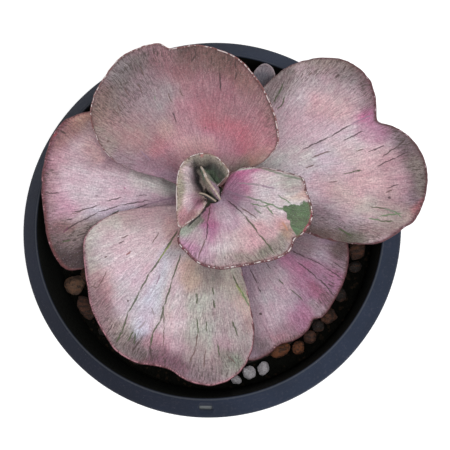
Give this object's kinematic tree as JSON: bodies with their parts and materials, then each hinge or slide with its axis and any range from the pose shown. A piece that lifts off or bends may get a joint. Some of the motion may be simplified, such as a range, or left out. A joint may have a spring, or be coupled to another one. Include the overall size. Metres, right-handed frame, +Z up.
{
  "type": "potted echeveria",
  "caption": "Large-leaved variegated succulent rosette on a short stem, in soil and stones in a round nursery pot with a sloping rim.",
  "frame": {"origin": "middle of the pot's base, on the surface that the pot stands on", "axes": "+Z up along the pot's axis; +X to the right and +Y to the back as the picture shows the plant; a hanger slot of the rim lies at -Y"},
  "size_m": [0.1705, 0.16, 0.14],
  "materials": {
    "pot_plastic": "satin moulded plastic",
    "soil": "dark crumbly potting mix",
    "brown_stone": "rough brown stones",
    "white_stone": "rough white stones",
    "stem": "scarred woody stem",
    "old_leaf": "dull bloomed leaf",
    "leaf": "powdery bloomed leaf with green streaks",
    "bud_leaf": "young bloomed leaf"
  },
  "bodies": {
    "root": {"pot": "pot_plastic", "soil": "soil", "gravel": "brown_stone", "pumice_1": "white_stone", "pumice_2": "white_stone", "pumice_3": "white_stone", "stem": "stem", "leaf_1": "old_leaf", "leaf_2": "leaf", "leaf_3": "leaf", "leaf_4": "leaf", "leaf_5": "leaf", "leaf_6": "leaf", "leaf_7": "leaf", "leaf_8": "leaf", "leaf_9": "bud_leaf", "leaf_10": "bud_leaf"}
  },
  "joints": []
}
